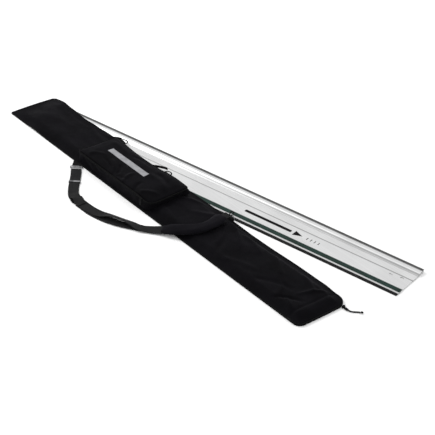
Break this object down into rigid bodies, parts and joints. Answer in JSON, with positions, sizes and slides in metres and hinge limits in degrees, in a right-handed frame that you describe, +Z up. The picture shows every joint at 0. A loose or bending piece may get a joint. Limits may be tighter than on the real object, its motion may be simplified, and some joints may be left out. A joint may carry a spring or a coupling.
{
  "type": "guide rail with carry bag",
  "caption": "Aluminium guide rail for a plunge saw, lying partly under its long zipped nylon carry bag with pocket and shoulder strap.",
  "frame": {"origin": "on the floor under the middle of the bounding box, the free pull cord left out", "axes": "+X along the bag towards its zipped end, +Y across it towards the rail, +Z up"},
  "size_m": [1.7545, 0.75, 0.0557],
  "materials": {
    "aluminium": "natural anodised, fine lines along the extrusion",
    "rubber": "black, satin",
    "glide_plastic": "dark green, ribbed",
    "nylon": "woven black polyester, slight sheen",
    "binding": "black grosgrain binding",
    "zip": "black tape with moulded teeth",
    "webbing": "dark grey ribbed webbing",
    "pad": "padded woven polyester",
    "metal": "bright nickel plate",
    "plastic": "moulded black acetal",
    "cord": "braided black cord",
    "reflective_print": "grey reflective print"
  },
  "bodies": {
    "bag": {"bag_bottom_right": "nylon", "bag_bottom_middle": "nylon", "bag_bottom_raised": "nylon", "bag_bottom_left": "nylon", "bag_top_panel": "nylon", "bag_top_panel_slope": "nylon", "near_gusset": "nylon", "near_gusset_slope": "nylon", "far_gusset": "nylon", "far_gusset_slope": "nylon", "left_end_gusset": "nylon", "pocket_gusset": "nylon", "near_edge_binding": "binding", "left_end_binding": "binding", "far_edge_binding": "binding", "main_zip_tape": "zip", "pocket_zip_tape": "zip", "main_zip_stop_near": "metal", "main_zip_stop_far": "metal", "ring_tab_1": "webbing", "ring_tab_2": "webbing", "ring_tab_3": "webbing", "d_ring_3": "metal", "strap_anchor_tab": "webbing", "strap_end_section": "webbing", "strap_adjuster": "plastic", "strap_main_section": "webbing", "shoulder_pad": "pad", "strap_hook_section": "webbing", "snap_hook_eye": "metal", "snap_hook_stem": "metal", "snap_hook_bow": "metal"},
    "rail": {"rail_extrusion": "aluminium", "splinter_guard": "rubber", "glide_strip": "glide_plastic", "rear_edge_trim": "rubber", "antislip_strip_front": "rubber", "antislip_strip_rear": "rubber"},
    "end_flap": {"end_flap": "nylon", "end_flap_binding": "binding"},
    "main_zip_slider": {"main_zip_slider": "plastic"},
    "main_zip_puller": {"main_zip_puller": "plastic", "pull_cord": "cord", "pull_cord_knot": "cord"},
    "pocket_lid": {"pocket_lid": "nylon", "reflective_bar": "reflective_print"},
    "pocket_zip_slider": {"pocket_zip_slider": "metal"},
    "pocket_zip_puller": {"pocket_zip_puller": "plastic"},
    "d_ring_1": {"d_ring_1": "plastic"},
    "d_ring_2": {"d_ring_2": "plastic"},
    "anchor_ring": {"anchor_ring": "metal"},
    "strap_buckle": {"strap_buckle": "metal"},
    "snap_hook_gate": {"snap_hook_gate": "metal"}
  },
  "joints": [
    {"name": "rail_slide", "type": "slide", "parent": "bag", "child": "rail", "axis": [0.974, 0.2267, 0], "range_m": [0, 0.86]},
    {"name": "end_flap_hinge", "type": "hinge", "parent": "bag", "child": "end_flap", "pos_m": [0.75057, -0.08553, 0.0242], "axis": [0, -1, 0], "range_deg": [0, 120]},
    {"name": "main_zip_travel", "type": "slide", "parent": "bag", "child": "main_zip_slider", "axis": [0, -1, 0], "range_m": [0, 0.148]},
    {"name": "main_zip_puller_swing", "type": "hinge", "parent": "main_zip_slider", "child": "main_zip_puller", "pos_m": [0.82117, 0.00047, 0.004], "axis": [0, -1, 0], "range_deg": [0, 70]},
    {"name": "pocket_lid_hinge", "type": "hinge", "parent": "bag", "child": "pocket_lid", "pos_m": [-0.21233, -0.00913, 0.04875], "axis": [-1, 0, 0], "range_deg": [0, 115]},
    {"name": "pocket_zip_travel", "type": "slide", "parent": "bag", "child": "pocket_zip_slider", "axis": [-1, 0, 0], "range_m": [0, 0.36]},
    {"name": "pocket_zip_puller_swing", "type": "hinge", "parent": "pocket_zip_slider", "child": "pocket_zip_puller", "pos_m": [-0.03932, -0.19908, 0.0461], "axis": [-1, 0, 0], "range_deg": [0, 110]},
    {"name": "d_ring_1_swing", "type": "hinge", "parent": "bag", "child": "d_ring_1", "pos_m": [-0.43233, 0.01874, 0.0165], "axis": [1, 0, 0], "range_deg": [0, 110]},
    {"name": "d_ring_2_swing", "type": "hinge", "parent": "bag", "child": "d_ring_2", "pos_m": [-0.16432, 0.02224, 0.01], "axis": [1, 0, 0], "range_deg": [0, 110]},
    {"name": "anchor_ring_swing", "type": "hinge", "parent": "bag", "child": "anchor_ring", "pos_m": [-0.40599, -0.21776, 0.0037], "axis": [-0.6293, -0.7771, 0], "range_deg": [0, 25]},
    {"name": "strap_buckle_slide", "type": "slide", "parent": "bag", "child": "strap_buckle", "axis": [0.7557, -0.6549, 0], "range_m": [-0.035, 0.035]},
    {"name": "snap_hook_gate_hinge", "type": "hinge", "parent": "bag", "child": "snap_hook_gate", "pos_m": [0.20467, 0.01883, 0.03053], "axis": [-1, 0, 0], "range_deg": [0, 20], "stiffness_Nm_per_rad": 0.002}
  ]
}
